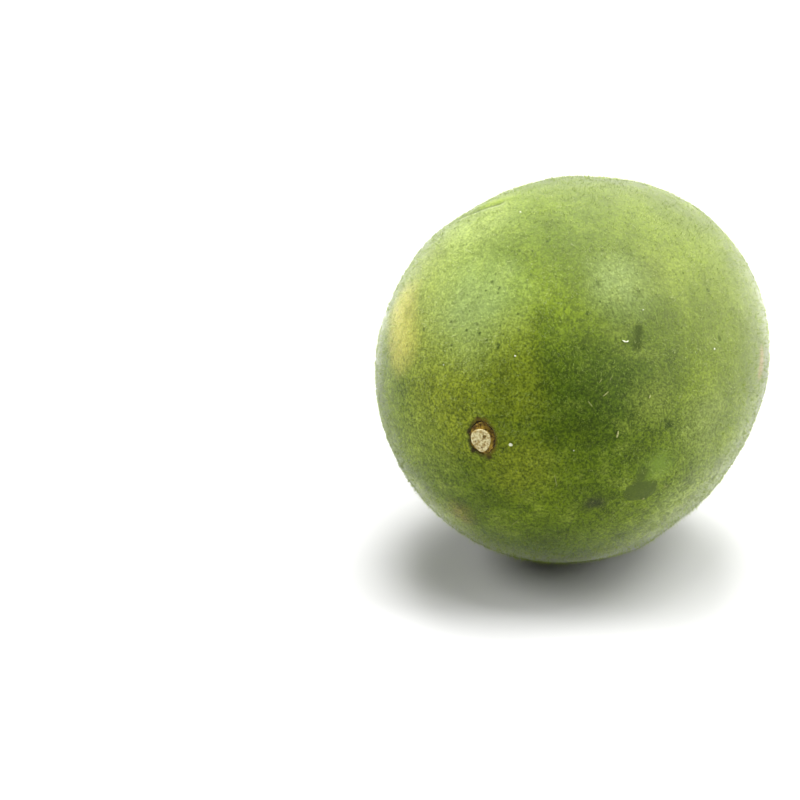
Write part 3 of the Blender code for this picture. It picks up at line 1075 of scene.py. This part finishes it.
def lay_strand(shape, start, end, radius):
    """Adds a slender closed spindle that lies on the skin from one place to another."""
    ends = [Vector(skin_point(place)) for place in (start, end)]
    along = ends[1] - ends[0]
    middle = (ends[0] + ends[1]) / 2
    outward = middle.normalized()
    turned = along.to_track_quat("Z", "Y").to_matrix()
    made = bmesh.ops.create_icosphere(shape, subdivisions=2, radius=1.0)
    for point in made["verts"]:
        local = Vector((point.co.x * radius, point.co.y * radius, point.co.z * along.length / 2))
        point.co = middle + turned @ local + outward * radius


def lint_material(name, dark, light):
    paint = Paint(name)
    colour = paint.mix(paint.fit(paint.noise(0.0002, 1.1), 0.3, 0.7), dark, light)
    return paint.finish(Base_Color=colour, Roughness=0.8)


def place_loose(name, shape, material):
    """Makes one piece on the skin from the shape, which this frees."""
    mesh = bpy.data.meshes.new(name)
    shape.to_mesh(mesh)
    shape.free()
    add_piece(name, mesh, material)


def make_flecks():
    shape = bmesh.new()
    for start, end, radius in FLECKS:
        lay_strand(shape, start, end, radius)
    for start, end in FIBRES:
        lay_strand(shape, start, end, FIBRE_RADIUS)
    place_loose("straw_flecks", shape, lint_material("straw", srgb(140, 146, 84), srgb(176, 178, 116)))


def make_specks():
    shape = bmesh.new()
    random = np.random.default_rng(SPECK_SEED)
    for place, radius in SPECKS:
        made = bmesh.ops.create_icosphere(shape, subdivisions=2, radius=radius)
        outward = Vector(direction(place))
        turned = outward.to_track_quat("Z", "Y").to_matrix()
        spot = Vector(skin_point(place)) + outward * radius * 0.5
        stretch = Vector(random.uniform(0.7, 1.3, 2).tolist() + [0.7])
        for point in made["verts"]:
            local = Vector(a * b for a, b in zip(point.co, stretch))
            local *= 1 + SPECK_ROUGHNESS * noise.noise(point.co / radius + spot * SPECK_SHIFT)
            point.co = spot + turned @ local
    for start, end in zip(CHIP, CHIP[1:]):
        lay_strand(shape, start, end, CHIP_RADIUS)
    material = lint_material("pale_lint", srgb(206, 212, 166), srgb(246, 246, 236))
    place_loose("lint_specks", shape, material)


# A round floor, small so that it doesn't show as a grey band in low views
FLOOR_RADIUS = 0.48
FLOOR_STEPS = 96
FLOOR_GREY = 0.50


def make_floor():
    bpy.ops.mesh.primitive_circle_add(
        vertices=FLOOR_STEPS, radius=FLOOR_RADIUS, fill_type="NGON", location=(0, 0, 0)
    )
    floor = bpy.context.active_object
    floor.name = "floor"
    paint = Paint("pale_floor")
    grey = (FLOOR_GREY, FLOOR_GREY, FLOOR_GREY, 1)
    floor.data.materials.append(paint.finish(Base_Color=grey, Roughness=0.8))


# Soft boxes round the fruit: name, turn clockwise from straight behind it, height angle, and power
SOFT_BOXES = [
    ("back_softbox", 0, 60, 18.0),
    ("top_softbox", 0, 90, 17.0),
    ("right_softbox", 90, 55, 17.0),
    ("low_right_softbox", 95, 20, 12.0),
    ("left_softbox", 285, 32, 12.0),
]
SOFT_BOX_SIZE = 0.7
SOFT_BOX_DISTANCE = 1.2
WORLD_STRENGTH = 0.06


def make_world():
    """A dim even light all round, which the camera sees as plain white."""
    world = bpy.data.worlds.new("studio")
    bpy.context.scene.world = world
    world.use_nodes = True
    backdrop = world.node_tree.nodes["Background"]
    backdrop.inputs["Color"].default_value = (1, 1, 1, 1)
    seen = world.node_tree.nodes.new("ShaderNodeLightPath").outputs["Is Camera Ray"]
    strength = world.node_tree.nodes.new("ShaderNodeMapRange")
    strength.inputs["To Min"].default_value = WORLD_STRENGTH
    world.node_tree.links.new(seen, strength.inputs["Value"])
    world.node_tree.links.new(strength.outputs["Result"], backdrop.inputs["Strength"])


def make_light():
    make_world()
    for name, turn, rise, power in SOFT_BOXES:
        light = bpy.data.lights.new(name, "AREA")
        light.shape = "SQUARE"
        light.size = SOFT_BOX_SIZE
        light.energy = power
        lamp = bpy.data.objects.new(name, light)
        bpy.context.scene.collection.objects.link(lamp)
        heading = VIEW_TURN - math.radians(turn)
        rise = math.radians(rise)
        level = Vector((-math.sin(heading), math.cos(heading), 0)) * math.cos(rise)
        way = level + Vector((0, 0, math.sin(rise)))
        lamp.location = CENTRE + way * SOFT_BOX_DISTANCE
        lamp.rotation_euler = way.to_track_quat("Z", "Y").to_euler()
        lamp.visible_camera = False
    bpy.context.scene.view_settings.view_transform = "Standard"


def make_camera():
    level = math.cos(VIEW_RISE)
    back = Vector((math.sin(VIEW_TURN) * level, -math.cos(VIEW_TURN) * level, math.sin(VIEW_RISE)))
    right = Vector((math.cos(VIEW_TURN), math.sin(VIEW_TURN), 0))
    up = back.cross(right)
    data = bpy.data.cameras.new("camera")
    data.lens = LENS_MM
    data.sensor_width = SENSOR_MM
    data.sensor_fit = "HORIZONTAL"
    data.clip_start = 0.01
    camera = bpy.data.objects.new("camera", data)
    bpy.context.scene.collection.objects.link(camera)
    aim = CENTRE - right * FRUIT_RIGHT_OF_AIM - up * FRUIT_ABOVE_AIM
    camera.location = aim + back * VIEW_DISTANCE
    camera.rotation_euler = back.to_track_quat("Z", "Y").to_euler()
    bpy.context.scene.camera = camera


make_fuzz(make_skin())
make_stub()
make_specks()
make_flecks()
make_floor()
make_light()
make_camera()
